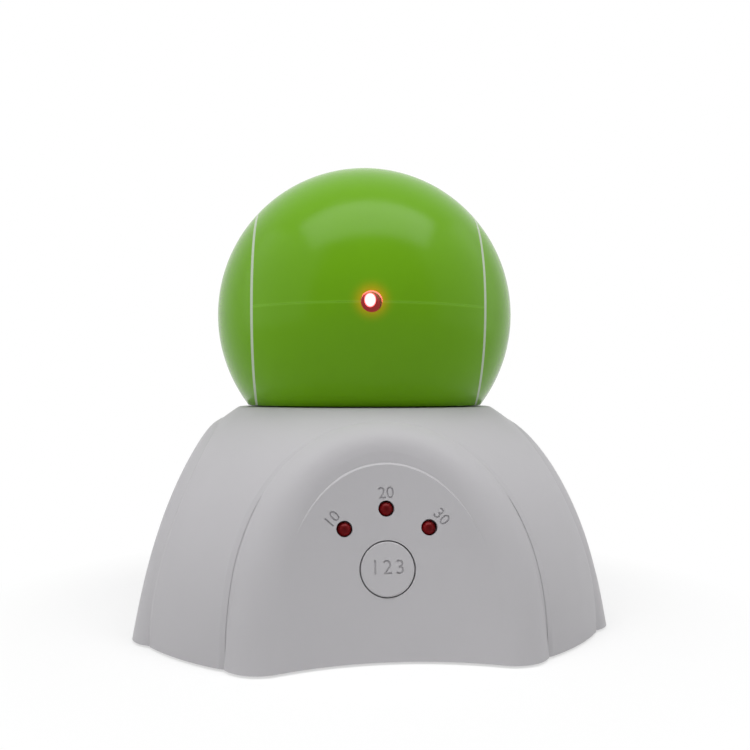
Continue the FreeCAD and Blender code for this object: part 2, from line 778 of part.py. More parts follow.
def pivot_rod(r, x0, x1):
    return rod(r, V(x0, PIVOT_Y, HEAD_Z), V(1, 0, 0), x1 - x0)


def band_lower_shell():
    skin = ball_skin().common(between(-BAND_HALF, BAND_HALF, HEAD_BOTTOM_Z, HEAD_Z))
    floor = ball(HEAD_R).common(between(-BAND_HALF, BAND_HALF, HEAD_BOTTOM_Z, HEAD_FLOOR_Z))
    posts = [post(3.4, HEAD_BOTTOM_Z, HEAD_Z, x, y) for x, y in HEAD_POST_PLACES]
    lower = join([skin, floor] + posts + [pivot_lug(-1), pivot_lug(1)])
    cuts = [post(2.4, 40, HEAD_WEB_Z, x, y) for x, y in HEAD_POST_PLACES]
    cuts += [post(SCREW_R, 40, 80, x, y) for x, y in HEAD_POST_PLACES]
    cuts += [post(HUB_R, 40, 60), laser_hole()]
    cuts += [pivot_rod(PIVOT_PIN_R + RUNNING_GAP, -LUG_OUTER_X - 0.2, LUG_OUTER_X + 0.2)]
    cuts += [post(0.8, HUB_SCREW_END_Z, 60, p.x, p.y) for p in hub_screw_places()]
    return yawed(drop(lower, cuts))


def ring_half(side, upper):
    """Half of the white ring between the band and a side cap; the halves step a little at the joint line."""
    step = RING_STEP if upper else 0.0
    x0 = BAND_HALF + step
    disc = rod(HEAD_R, V(BAND_HALF, 0, HEAD_Z), V(1, 0, 0), RING_WIDTH)
    disc = disc.common(ball(HEAD_R))
    disc = disc.cut(rod(RING_INNER_R, V(x0 - 2, 0, HEAD_Z), V(1, 0, 0), 5))
    z0, z1 = (HEAD_Z, 120) if upper else (HEAD_BOTTOM_Z, HEAD_Z)
    half = disc.common(between(20, 40, z0, z1))
    if side < 0:
        half = half.mirror(ORIGIN, V(1, 0, 0))
    return yawed(half)


def side_cap(side):
    start = BAND_HALF + RING_WIDTH
    skin = ball_skin().common(between(start, 40, HEAD_BOTTOM_Z, 120))
    flange = rod(RING_INNER_R - 0.1, V(start - 3.2, 0, HEAD_Z), V(1, 0, 0), 4.2)
    flange = flange.cut(rod(RING_INNER_R - 1.6, V(start - 5, 0, HEAD_Z), V(1, 0, 0), 9))
    flange = flange.common(ball(HEAD_R - 1)).common(between(20, 40, HEAD_FLOOR_Z + 0.8, 120))
    cap = join([skin, flange])
    if side < 0:
        cap = cap.mirror(ORIGIN, V(1, 0, 0))
    return yawed(cap)


def hub_screw_places():
    return [polar(10.6, 90 + 120 * k) for k in range(3)]


def turntable_hub():
    pieces = [post(13, HEAD_FLOOR_Z, HEAD_FLOOR_Z + 1.6), post(HUB_R, HUB_STEP_Z, HEAD_FLOOR_Z),
              post(SPIGOT_R, HUB_STEP_Z - 4.7, HUB_STEP_Z)]
    groove = pipe(HUB_R + 2, HUB_R - 0.6, GEAR_Z - 0.6, GEAR_Z)
    cuts = [post(HUB_BORE_R, 30, 60), groove] + [post(0.8, 50, 60, p.x, p.y) for p in hub_screw_places()]
    return yawed(drop(join(pieces), cuts))


def hub_screws():
    screws = []
    for place in hub_screw_places():
        top = HEAD_FLOOR_Z + 1.6
        shaft = post(0.8, HUB_SCREW_END_Z, top, place.x, place.y)
        screws.append(join([shaft, post(1.6, top, top + 1, place.x, place.y)]))
    return yawed(Part.makeCompound(screws))


def hub_clip():
    ring = pipe(HUB_R + 1.5, HUB_R - 0.6, GEAR_Z - 0.6, GEAR_Z)
    return yawed(ring.cut(box(-3, 3, 0, 20, 40, 50)))


def slip_ring_disc():
    return yawed(pipe(12, SPIGOT_R, DISC_Z, DISC_Z + 1))


def slip_ring_tracks():
    return yawed(Part.makeCompound([pipe(r + 0.7, r - 0.7, DISC_Z - 0.1, DISC_Z) for r in TRACK_RS]))


def head_screws():
    return yawed(Part.makeCompound([screw(x, y, HEAD_WEB_Z, 11) for x, y in HEAD_POST_PLACES]))


# ---------------------------------------------------------------- laser and tilt drive

def pinion_y():
    return PIVOT_Y + mesh_distance(SECTOR_TEETH, PINION_TEETH)


def across_head(shape):
    """Turns a shape drawn flat so that its axis runs along +X and its 90 degrees points back."""
    return turned(shape, 90, ORIGIN, V(0, 1, 0))


def gear_across(teeth, phase, x0, x1, y):
    wheel = across_head(gear(teeth, phase, x0, x1))
    wheel.translate(V(0, y, HEAD_Z))
    return wheel


def tilted(shape):
    """Puts a piece of the laser carrier at its resting tilt, beam down."""
    return yawed(turned(shape, LASER_REST_TILT, V(0, PIVOT_Y, HEAD_Z), V(1, 0, 0)))


def sector():
    start, end = SECTOR_SPAN
    reach = 30
    arc = [polar(reach, start + (end - start) * k / 4) for k in range(5)]
    wedge = Part.Face(Part.makePolygon([ORIGIN] + arc + [ORIGIN])).extrude(V(0, 0, 20))
    wedge = across_head(wedge)
    wedge.translate(V(0, PIVOT_Y, HEAD_Z))
    plate = gear_across(SECTOR_TEETH, 90, ARM_INNER_X, ARM_OUTER_X, PIVOT_Y)
    hole = pivot_rod(13, 0, 20)
    return plate.common(wedge).cut(hole)


def laser_carrier():
    pieces = [box(-ARM_INNER_X, ARM_INNER_X, -26, -18, HEAD_Z - 4.2, HEAD_Z + 4.2)]
    for x0, x1 in ((-ARM_OUTER_X, -ARM_INNER_X), (ARM_INNER_X, ARM_OUTER_X)):
        pieces.append(box(x0, x1, PIVOT_Y, -17, HEAD_Z - 1.5, HEAD_Z + 1.5))
        pieces.append(pivot_rod(2.0, x0, x1))
    pieces.append(sector())
    cuts = [rod(BARREL_R, V(0, -40, HEAD_Z), V(0, 1, 0), 40), pivot_rod(PIVOT_PIN_R, -20, 20)]
    return tilted(drop(join(pieces), cuts))


def laser_pivot_pins():
    return yawed(Part.makeCompound([pivot_rod(PIVOT_PIN_R, ARM_INNER_X, PIVOT_PIN_X),
                                    pivot_rod(PIVOT_PIN_R, -PIVOT_PIN_X, -ARM_INNER_X)]))


def laser_rod(r, y0, y1):
    return rod(r, V(0, y0, HEAD_Z), V(0, 1, 0), y1 - y0)


def laser_barrel():
    back = BARREL_FRONT_Y + BARREL_LENGTH
    return tilted(laser_rod(BARREL_R, BARREL_FRONT_Y, back).cut(laser_rod(2.3, BARREL_FRONT_Y - 1, back - 1)))


def laser_lens():
    rim = laser_rod(2.3, BARREL_FRONT_Y + 0.4, BARREL_FRONT_Y + 1.2)
    bulge = Part.makeSphere(6, V(0, BARREL_FRONT_Y + 6.1, HEAD_Z))
    bulge = bulge.common(laser_rod(2.0, BARREL_FRONT_Y, BARREL_FRONT_Y + 1))
    return tilted(join([rim, bulge]))


def laser_diode():
    back = BARREL_FRONT_Y + BARREL_LENGTH - 1
    return tilted(join([laser_rod(2.3, back - 1.2, back), laser_rod(1.6, back - 3.4, back - 1.2)]))


def laser_driver_board():
    back = BARREL_FRONT_Y + BARREL_LENGTH
    return tilted(box(-2.4, 2.4, back, back + 0.8, HEAD_Z - 2.7, HEAD_Z + 2.7))


def tilt_block(x0, x1):
    return box(x0, x1, pinion_y() - 5, pinion_y() + 5, HEAD_Z - 6, HEAD_Z + 6)


def tilt_rod(r, x0, x1):
    return rod(r, V(x0, pinion_y(), HEAD_Z), V(1, 0, 0), x1 - x0)


def tilt_gearbox():
    bore = tilt_rod(TILT_SHAFT_R + RUNNING_GAP, GEARBOX_X - 4, GEARBOX_X + 5)
    return yawed(tilt_block(GEARBOX_X - 9, GEARBOX_X).cut(bore))


def tilt_motor():
    can = tilt_rod(6, GEARBOX_X - 24, GEARBOX_X - 9).common(tilt_block(-30, 10))
    return yawed(join([can, tilt_rod(2, GEARBOX_X - 25, GEARBOX_X - 24)]))


def tilt_motor_bracket():
    y = pinion_y()
    neck = box(-7, 1, y - 2.4, y + 2.6, HEAD_FLOOR_Z + 1.6, HEAD_Z - 6)
    saddle = box(-8, 1, y - 5, y + 5, HEAD_Z - 7.4, HEAD_Z - 6)
    cheeks = [box(-8, -4.6, y + a, y + b, HEAD_Z - 7.4, HEAD_Z + 2) for a, b in ((-6.2, -5), (5, 6.2))]
    return yawed(join([neck, saddle] + cheeks))


def tilt_pinion():
    phase = mesh_phase(90 + LASER_REST_TILT, SECTOR_TEETH, PINION_TEETH, 90)
    pinion = gear_across(PINION_TEETH, phase, ARM_INNER_X - 0.4, ARM_OUTER_X + 0.4, pinion_y())
    return yawed(pinion.cut(tilt_rod(TILT_SHAFT_R, 0, 20)))


def tilt_shaft():
    return yawed(tilt_rod(TILT_SHAFT_R, GEARBOX_X - 3.6, ARM_OUTER_X + 0.9))


def head_wires():
    """Two wires from the slip ring up the hub's bore and round to the tail of the tilt motor."""
    runs = []
    for side in (-1, 1):
        near = 2.65 * side
        far = pinion_y() + 3.5 * side
        points = [V(0, near, HUB_STEP_Z - 3), V(0, near, 56), V(-24, near, 56), V(-24, far, HEAD_Z)]
        points.append(V(GEARBOX_X - 24, far, HEAD_Z))
        runs.append(wire_run(points, WIRE_R, 2.0))
    return yawed(Part.makeCompound(runs))


PIECES = {
    "base_shell": base_shell, "base_plate": base_plate, "rubber_feet": rubber_feet, "base_screws": base_screws,
    "battery_door": battery_door, "door_screws": door_screws,
    "aa_cell_1": lambda: aa_cell(1), "aa_cell_2": lambda: aa_cell(2), "aa_cell_3": lambda: aa_cell(3),
    "battery_springs": battery_springs, "battery_contacts": battery_contacts,
    "control_board": control_board, "board_screws": board_screws, "controller_chip": controller_chip,
    "tact_switch": tact_switch, "switch_plunger": switch_plunger,
    "mode_button": mode_button, "lamp_leads": lamp_leads,
    "indicator_lamp_left": lambda: indicator_lamp("left"),
    "indicator_lamp_middle": lambda: indicator_lamp("middle"),
    "indicator_lamp_right": lambda: indicator_lamp("right"),
    "chassis_plate": chassis_plate, "chassis_screws": chassis_screws, "gear_pins": gear_pins,
    "pan_motor": pan_motor, "pan_motor_shaft": pan_motor_shaft, "motor_pinion": motor_pinion,
    "compound_gear_a": compound_gear_a, "compound_gear_b": compound_gear_b, "turntable_gear": turntable_gear,
    "brush_block": brush_block, "slip_brushes": slip_brushes, "glide_ring": glide_ring,
    "base_wires": base_wires,
    "band_upper_shell": band_upper_shell, "band_lower_shell": band_lower_shell,
    "left_ring_upper": lambda: ring_half(-1, True), "left_ring_lower": lambda: ring_half(-1, False),
    "right_ring_upper": lambda: ring_half(1, True), "right_ring_lower": lambda: ring_half(1, False),
    "left_side_cap": lambda: side_cap(-1), "right_side_cap": lambda: side_cap(1),
    "turntable_hub": turntable_hub, "hub_screws": hub_screws, "hub_clip": hub_clip,
    "slip_ring_disc": slip_ring_disc, "slip_ring_tracks": slip_ring_tracks, "head_screws": head_screws,
    "laser_carrier": laser_carrier, "laser_pivot_pins": laser_pivot_pins, "laser_barrel": laser_barrel,
    "laser_lens": laser_lens, "laser_diode": laser_diode, "laser_driver_board": laser_driver_board,
    "tilt_gearbox": tilt_gearbox, "tilt_motor": tilt_motor, "tilt_motor_bracket": tilt_motor_bracket,
    "tilt_pinion": tilt_pinion, "tilt_shaft": tilt_shaft, "head_wires": head_wires,
}


def main():
    os.makedirs("parts", exist_ok=True)
    for name, make in PIECES.items():
        shape = make()
        print(name, "solids", len(shape.Solids), "volume", round(shape.Volume, 1), "valid", shape.isValid())
        shape.exportStep("parts/" + name + ".step")


if __name__ == "__main__":
    main()
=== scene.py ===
"""Looks of an automatic cat laser toy: finishes, fine edges, engraved numbers, laser glow and the studio."""
import json
import math

import bmesh
import bpy
from mathutils import Matrix, Vector


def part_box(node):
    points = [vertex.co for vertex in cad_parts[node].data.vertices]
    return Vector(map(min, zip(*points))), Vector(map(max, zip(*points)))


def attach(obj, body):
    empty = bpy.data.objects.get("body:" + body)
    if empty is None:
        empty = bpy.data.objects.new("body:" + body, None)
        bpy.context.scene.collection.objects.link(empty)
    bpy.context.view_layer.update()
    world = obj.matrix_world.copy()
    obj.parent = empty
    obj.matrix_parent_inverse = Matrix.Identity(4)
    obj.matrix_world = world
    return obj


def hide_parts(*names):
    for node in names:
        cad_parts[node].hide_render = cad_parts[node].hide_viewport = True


bl_info = {
    "name": "Cat Laser Toy Looks",
    "version": (1, 0, 0),
    "blender": (4, 5, 0),
    "location": "3D View > Sidebar > Toy",
    "description": "Finishes and fine pieces of a ball-headed laser toy for cats",
    "category": "Object",
}

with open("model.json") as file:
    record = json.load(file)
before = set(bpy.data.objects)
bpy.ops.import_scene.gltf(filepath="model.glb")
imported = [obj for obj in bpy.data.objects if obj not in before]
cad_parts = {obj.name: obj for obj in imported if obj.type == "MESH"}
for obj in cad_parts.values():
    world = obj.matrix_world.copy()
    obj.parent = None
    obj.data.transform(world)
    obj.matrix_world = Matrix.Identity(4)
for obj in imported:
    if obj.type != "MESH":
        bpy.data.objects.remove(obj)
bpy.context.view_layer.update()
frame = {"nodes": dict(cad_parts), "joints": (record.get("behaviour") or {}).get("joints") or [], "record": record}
MM = 0.001
JOINTS = {joint["name"]: joint for joint in frame["joints"]}
UP = Vector((0, 0, 1))
KEPT = "kept_normal"
SAME_PLACE = 0.001 * MM
SHARP = 0.5                                 # radians between the faces at a rim's edge
LAMP_HOLE_RADIUS = 1.62 * MM
BUTTON_HOLE_RADIUS = 5.6 * MM
LASER_HOLE_RADIUS = 2.25 * MM
CAP_TO_FONT = 0.73                          # height of a figure as a share of the font's size
PANEL_NUMBERS = (("10", -10.9, 27.7, 47), ("20", 0.0, 32.5, 3), ("30", 10.9, 27.85, -48))
BUTTON_NUMBERS = "123"
BUTTON_NUMBERS_RISE = 0.85                  # mm above the button's middle
# paler green of the highlight painted along the head's joint line
SEAM_HIGHLIGHT_GREEN = (0.17, 0.40, 0.02)
# colour of the laser, also of the glow painted on the head round the laser hole
LASER_RED = (1.0, 0.03, 0.005)


# ------------------------------------------------------------------ places from the frame

def head_centre():
    return Vector((0, 0, JOINTS["laser_tilt"]["pos_m"][2]))


def head_radius():
    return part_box("band_upper_shell")[1].z - head_centre().z


def head_turn():
    """Turn of the head about its axis at rest."""
    axis = JOINTS["laser_tilt"]["axis"]
    return Matrix.Rotation(math.atan2(axis[1], axis[0]), 4, "Z")


def head_front():
    return head_turn().to_3x3() @ Vector((0, -1, 0))


def hole_mouth():
    """Middle of the laser hole on the outside of the head."""
    return head_centre() + head_front() * head_radius()


def middle(node):
    low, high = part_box(node)
    return (low + high) / 2


def panel_inwards():
    return Vector(JOINTS["mode_button_press"]["axis"])


def lamp_names():
    return [f"indicator_lamp_{side}" for side in ("left", "middle", "right")]


def lamp_tip(name):
    """Foremost point of a lamp."""
    out = -panel_inwards()
    reach = max(vertex.co.dot(out) for vertex in frame["nodes"][name].data.vertices)
    centre = middle(name)
    return centre + out * (reach - centre.dot(out))


# ------------------------------------------------------------------ materials

def new_material(name):
    """An empty node material with its shader, and the Object coordinates that its patterns read."""
    material = bpy.data.materials.new(name)
    material.use_nodes = True
    shader = material.node_tree.nodes["Principled BSDF"]
    place = material.node_tree.nodes.new("ShaderNodeTexCoord")
    return material, shader, place.outputs["Object"]


def add_node(material, kind, settings=(), inputs=()):
    node = material.node_tree.nodes.new(kind)
    for name, value in dict(settings).items():
        setattr(node, name, value)
    for name, value in dict(inputs).items():
        if isinstance(value, bpy.types.NodeSocket):
            material.node_tree.links.new(value, node.inputs[name])
        else:
            node.inputs[name].default_value = value
    return node


def link(material, output, entry):
    material.node_tree.links.new(output, entry)


def maths(material, operation, *values):
    """One sum of numbers or outputs, by a Math node."""
    inputs = dict(enumerate(values))
    return add_node(material, "ShaderNodeMath", {"operation": operation}, inputs).outputs["Value"]


def distance(material, offset):
    """Length of a vector output."""
    return add_node(material, "ShaderNodeVectorMath", {"operation": "LENGTH"}, {0: offset}).outputs["Value"]


def along(material, place, axis):
    """One coordinate of a place, by the axis' letter."""
    return add_node(material, "ShaderNodeSeparateXYZ", inputs={"Vector": place}).outputs[axis]


def noise(material, place, scale, detail=3.0):
    inputs = {"Vector": place, "Scale": scale, "Detail": detail}
    return add_node(material, "ShaderNodeTexNoise", inputs=inputs).outputs["Fac"]


def spread(material, value, low, high, start=0.3, end=0.7):
    """Maps a pattern's middle range to low and high."""
    inputs = {"Value": value, "From Min": start, "From Max": end, "To Min": low, "To Max": high}
    return add_node(material, "ShaderNodeMapRange", inputs=inputs).outputs["Result"]


def tinted(material, value, first, second):
    """A colour between the two, by a pattern."""
    ramp = add_node(material, "ShaderNodeValToRGB", inputs={"Fac": value})
    ramp.color_ramp.elements[0].color = (*first, 1)
    ramp.color_ramp.elements[1].color = (*second, 1)
    return ramp.outputs["Color"]


def bumped(material, shader, height, depth):
    node = add_node(material, "ShaderNodeBump", inputs={"Height": height, "Distance": depth, "Strength": 1.0})
    link(material, node.outputs["Normal"], shader.inputs["Normal"])


def shade(colour, factor):
    return [min(1.0, channel * factor) for channel in colour]


def moulded(name, colour, roughness, grain, depth, specular=0.5, mottle=0.03):
    """Moulded plastic: a fine spark-eroded grain, a little uneven in gloss and colour."""
    material, shader, place = new_material(name)
    cloud = spread(material, noise(material, place, 55.0), 0.0, 1.0)
    tone = tinted(material, cloud, shade(colour, 1 - mottle), shade(colour, 1 + mottle))
    link(material, tone, shader.inputs["Base Color"])
    gloss = spread(material, noise(material, place, 240.0), roughness - 0.03, roughness + 0.03)
    link(material, gloss, shader.inputs["Roughness"])
    shader.inputs["Specular IOR Level"].default_value = specular
    bumped(material, shader, noise(material, place, grain, 2.0), depth)
    return material


def metal(name, colour, roughness, scratch):
    """Drawn or plated metal with fine scratches."""
    material, shader, place = new_material(name)
    shader.inputs["Metallic"].default_value = 1.0
    stretch = add_node(material, "ShaderNodeMapping", inputs={"Vector": place, "Scale": (1, 1, 12)})
    lines = noise(material, stretch.outputs["Vector"], scratch)
    tone = tinted(material, lines, shade(colour, 0.85), shade(colour, 1.08))
    link(material, tone, shader.inputs["Base Color"])
    link(material, spread(material, lines, roughness - 0.06, roughness + 0.1), shader.inputs["Roughness"])
    bumped(material, shader, lines, 0.004 * MM)
    return material


def solder_mask(name, colour):
    """Circuit board: copper tracks that show through the lacquer."""
    material, shader, place = new_material(name)
    inputs = {"Vector": place, "Scale": 260.0, "Mortar Size": 0.06}
    tracks = add_node(material, "ShaderNodeTexBrick", {"offset": 0.37}, inputs)
    tone = tinted(material, tracks.outputs["Fac"], colour, shade(colour, 2.2))
    link(material, tone, shader.inputs["Base Color"])
    shader.inputs["Roughness"].default_value = 0.35
    bumped(material, shader, tracks.outputs["Fac"], 0.02 * MM)
    return material


def cell_wrap(name, colour, band_colour):
    """Printed film round a cell: a dark body with a lighter band at its plus end."""
    material, shader, place = new_material(name)
    band = maths(material, "GREATER_THAN", along(material, place, "X"), 12 * MM)
    link(material, tinted(material, band, colour, band_colour), shader.inputs["Base Color"])
    shader.inputs["Roughness"].default_value = 0.3
    bumped(material, shader, noise(material, place, 900.0), 0.01 * MM)
    return material


def near(material, place, point, reach, power, stretch=(1, 1, 1)):
    """One at a point, falling to nothing at reach; a stretch above 1 shortens the reach along that axis."""
    inputs = {"Vector": place, "Location": -(Matrix.Diagonal(stretch) @ point), "Scale": stretch}
    offset = add_node(material, "ShaderNodeMapping", {"vector_type": "POINT"}, inputs).outputs["Vector"]
    fall = spread(material, distance(material, offset), 1.0, 0.0, 0.0, reach)
    return maths(material, "POWER", fall, power)


def painted_seam_highlight(material, place, colour, bright):
    """Painted highlight: a fine paler line painted on the lower shell where the head's halves meet."""
    line_height = head_centre().z - 0.04 * MM
    below = maths(material, "SUBTRACT", line_height, along(material, place, "Z"))
    line = spread(material, maths(material, "ABSOLUTE", below), 1.0, 0.0, 0.1 * MM, 0.4 * MM)
    # mixes the painted highlight colour into the green along the joint
    mix = add_node(material, "ShaderNodeMix", {"data_type": "RGBA"}, {"Factor": line})
    sockets = [socket for socket in mix.inputs if socket.type == "RGBA"]
    link(material, colour, sockets[0])
    sockets[1].default_value = (*bright, 1)
    return next(socket for socket in mix.outputs if socket.type == "RGBA")


def painted_laser_glow(material, shader, place, colour, strength, reach):
    """Painted glow: the laser's red light painted as emission on the plastic round the hole, fading with distance.
    """
    shader.inputs["Emission Color"].default_value = (*colour, 1)
    # the painted glow is strongest just above the hole's mouth and fades outwards
    fall = near(material, place, hole_mouth() + UP * 0.3 * MM, reach, 2.4)
    link(material, maths(material, "MULTIPLY", fall, strength), shader.inputs["Emission Strength"])


def clear_lens(name, glow, strength):
    """Acrylic lens lit from behind: a core too bright to look at, inside a red rim."""
    material, shader, place = new_material(name)
    shader.inputs["Base Color"].default_value = (0.5, 0.01, 0.02, 1)
    shader.inputs["Emission Color"].default_value = (*glow, 1)
    link(material, spread(material, noise(material, place, 900.0), 0.06, 0.12), shader.inputs["Roughness"])
    core_middle = middle("laser_lens") + Vector((0.08, 0, 0.72)) * MM
    core = near(material, place, core_middle, 3.4 * MM, 1.0, stretch=(1.22, 1.0, 1.0))
    rim_strength = 0.25
    edge = spread(material, core, rim_strength, strength, 0.50, 0.58)
    link(material, edge, shader.inputs["Emission Strength"])
    return material


def lamp_epoxy(name, colour):
    """Deep red diffused epoxy, darker where the unlit die sits behind the dome."""
    material, shader, place = new_material(name)
    core = None
    for lamp in lamp_names():
        spot = near(material, place, lamp_tip(lamp) + UP * 0.35 * MM, 1.4 * MM, 1.0)
        core = spot if core is None else maths(material, "MAXIMUM", core, spot)
    link(material, tinted(material, core, colour, shade(colour, 0.35)), shader.inputs["Base Color"])
    shader.inputs["Specular IOR Level"].default_value = 0.2
    shader.inputs["Specular Tint"].default_value = (1.0, 0.4, 0.4, 1)
    link(material, spread(material, noise(material, place, 600.0), 0.22, 0.30), shader.inputs["Roughness"])
    return material


def green_plastic(name, colour):
    """Finish of the whole head."""
    return moulded(name, colour, 0.2, 2000.0, 0.016 * MM, 0.115, 0.02)


def green_with_painted_light(colour):
    """The head's green with a painted highlight along the joint line and a painted glow of the laser round the
    hole.
    """
    material = green_plastic("green_with_painted_light", colour)
    shader = material.node_tree.nodes["Principled BSDF"]
    place = material.node_tree.nodes["Texture Coordinate"].outputs["Object"]
    base = shader.inputs["Base Color"]
    # paints the highlight along the joint line over the green
    link(material, painted_seam_highlight(material, place, base.links[0].from_socket, SEAM_HIGHLIGHT_GREEN), base)
    # paints the laser's glow as emission round the hole
    painted_laser_glow(material, shader, place, LASER_RED, 0.95, 5.5 * MM)
    return material


def give(node, material):
    """Puts a material on a CAD node, given by name, or on a new object."""
    thing = frame["nodes"][node] if isinstance(node, str) else node
    if not thing.material_slots:
        thing.data.materials.append(material)
    for slot in thing.material_slots:
        slot.material = material


# ------------------------------------------------------------------ shapes

def merged_copy(node):
    """A closed mesh of a CAD node, which keeps the node's corner normals in an attribute."""
    mesh = frame["nodes"][node].data.copy()
    normals = [0.0] * (3 * len(mesh.loops))
    mesh.corner_normals.foreach_get("vector", normals)
    mesh.attributes.new(KEPT, "FLOAT_VECTOR", "CORNER").data.foreach_set("vector", normals)
    bm = bmesh.new()
    bm.from_mesh(mesh)
    bpy.data.meshes.remove(mesh)
    bmesh.ops.remove_doubles(bm, verts=bm.verts, dist=SAME_PLACE)
    return bm


def soften(bm, edges, width, segments=1):
    """Bevels edges; the new faces lose their kept normals and so get their own."""
    made = bmesh.ops.bevel(bm, geom=edges, offset=width, offset_type="OFFSET", segments=segments, profile=0.5,
                           affect="EDGES", material=-1, clamp_overlap=True)
    layer = bm.loops.layers.float_vector[KEPT]
    for face in made["faces"]:
        for loop in face.loops:
            loop[layer] = (0, 0, 0)


def sharp_edges(bm, chosen):
    """Sharp edges with both ends among the chosen vertices."""
    return [edge for edge in bm.edges
            if edge.calc_face_angle(0) > SHARP and all(chosen(vert) for vert in edge.verts)]


def rim_edges(bm, centre, axis, radius, depth):
    """Sharp edges of a round opening, no further than depth from its centre along the axis."""
    def on_rim(vert):
        offset = vert.co - centre
        inwards = offset.dot(axis)
        return abs(inwards) < depth and abs((offset - axis * inwards).length - radius) < 0.03 * MM
    return sharp_edges(bm, on_rim)


def seam_edges(bm):
    """Outer edges on the head's joint line."""
    centre = head_centre()
    radius = head_radius()

    def on_seam(vert):
        offset = vert.co - centre
        return abs(offset.z) < 0.002 * MM and abs(offset.length - radius) < 0.02 * MM
    return sharp_edges(bm, on_seam)


def object_of(bm, name):
    """A new object in the scene from a bmesh, which is freed."""
    mesh = bpy.data.meshes.new(name)
    bm.to_mesh(mesh)
    bm.free()
    thing = bpy.data.objects.new(name, mesh)
    bpy.context.scene.collection.objects.link(thing)
    return thing


def restore_normals(mesh):
    """Gives back the kept corner normals; faces without them stay flat."""
    mesh.shade_smooth()
    kept = [Vector(value.vector) for value in mesh.attributes[KEPT].data]
    corners = []
    for polygon in mesh.polygons:
        flat = polygon.normal.copy()
        for index in polygon.loop_indices:
            corners.append(kept[index].normalized() if kept[index].length > 0.5 else flat)
    mesh.attributes.remove(mesh.attributes[KEPT])
    mesh.normals_split_custom_set(corners)


def engraved(piece, cutters):
    """Cuts numbers out of a piece and removes the cutters."""
    for number, cutter in enumerate(cutters):
        cut = piece.modifiers.new(f"cut_{number}", "BOOLEAN")
        cut.operation = "DIFFERENCE"
        cut.solver = "EXACT"
        cut.object = cutter
    graph = bpy.context.evaluated_depsgraph_get()
    mesh = bpy.data.meshes.new_from_object(piece.evaluated_get(graph))
    piece.modifiers.clear()
    old = piece.data
    piece.data = mesh
    bpy.data.meshes.remove(old)
    for cutter in cutters:
        old = cutter.data
        bpy.data.objects.remove(cutter)
        bpy.data.meshes.remove(old)


def number_cutter(text, height, spacing, seat, depth):
    """Extruded numbers at a seat matrix whose Z points out of the surface."""
    curve = bpy.data.curves.new("numbers", "FONT")
    curve.body = text
    curve.align_x = "CENTER"
    curve.align_y = "CENTER"
    curve.size = height / CAP_TO_FONT
    curve.space_character = spacing
    curve.extrude = depth
    curve.resolution_u = 6
    drawn = bpy.data.objects.new("numbers", curve)
    bpy.context.scene.collection.objects.link(drawn)
    graph = bpy.context.evaluated_depsgraph_get()
    mesh = bpy.data.meshes.new_from_object(drawn.evaluated_get(graph))
    bpy.data.objects.remove(drawn)
    bpy.data.curves.remove(curve)
    bm = bmesh.new()
    bm.from_mesh(mesh)
    bpy.data.meshes.remove(mesh)
    bmesh.ops.remove_doubles(bm, verts=bm.verts, dist=SAME_PLACE)
    bmesh.ops.recalc_face_normals(bm, faces=bm.faces)
    bmesh.ops.transform(bm, matrix=seat, verts=bm.verts)
    return object_of(bm, "number_cutter")


def on_panel(node, x, z):
    """Point of a CAD node's front surface, found from in front."""
    well_in_front = Vector((x, -80 * MM, z))
    found, place, _, _ = frame["nodes"][node].ray_cast(well_in_front, Vector((0, 1, 0)))
    if not found:
        raise RuntimeError(f"no surface of {node} at {x}, {z}")
    return place


def panel_seat(node, x, z, turn):
    """Place on the front panel, in mm from in front, with Z out of the surface and Y up along it."""
    bpy.context.view_layer.update()
    x, z, reach = x * MM, z * MM, 1.0 * MM
    across = (on_panel(node, x + reach, z) - on_panel(node, x - reach, z)).normalized()
    upwards = on_panel(node, x, z + reach) - on_panel(node, x, z - reach)
    normal = across.cross(upwards).normalized()
    upwards = normal.cross(across)
    axes = Matrix((across, upwards, normal)).transposed().to_4x4()
    return Matrix.Translation(on_panel(node, x, z)) @ axes @ Matrix.Rotation(turn, 4, "Z")


def place_piece(piece, material, body, node):
    """Hangs a finished piece on its body, in place of a CAD node."""
    piece.data.materials.clear()
    piece.data.materials.append(material)
    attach(piece, body)
    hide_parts(node)


# ------------------------------------------------------------------ settings

class ToyFinish(bpy.types.PropertyGroup):
    shell_colour: bpy.props.FloatVectorProperty(
        name="Base", description="Colour of the base",
        subtype="COLOR", size=3, default=(0.445, 0.436, 0.45))
    head_colour: bpy.props.FloatVectorProperty(
        name="Head", description="Colour of the head",
        subtype="COLOR", size=3, default=(0.13, 0.33, 0.003))
    ring_colour: bpy.props.FloatVectorProperty(
        name="Rings", description="Colour of the head's two rings",
        subtype="COLOR", size=3, default=(0.42, 0.50, 0.36))
    lamp_colour: bpy.props.FloatVectorProperty(
        name="Lamps", description="Colour of the lamps' epoxy",
        subtype="COLOR", size=3, default=(0.155, 0.0015, 0.003))
    glow_colour: bpy.props.FloatVectorProperty(
        name="Laser", description="Colour of the laser light",
        subtype="COLOR", size=3, default=(1.0, 0.12, 0.12))


class ToyDetails(bpy.types.PropertyGroup):
    number_height: bpy.props.FloatProperty(
        name="Numbers", description="Height of the lamp numbers", default=2.4 * MM, unit="LENGTH")
    button_number_height: bpy.props.FloatProperty(
        name="Button numbers", description="Height of the numbers on the button",
        default=2.9 * MM, unit="LENGTH")
    engraving: bpy.props.FloatProperty(
        name="Engraving", description="Depth of the numbers", default=0.22 * MM, unit="LENGTH")
    seam: bpy.props.FloatProperty(
        name="Seam", description="Width of the bevel at the head's joint line",
        default=0.06 * MM, unit="LENGTH")
    rim: bpy.props.FloatProperty(
        name="Rims", description="Width of the bevel round holes", default=0.14 * MM, unit="LENGTH")


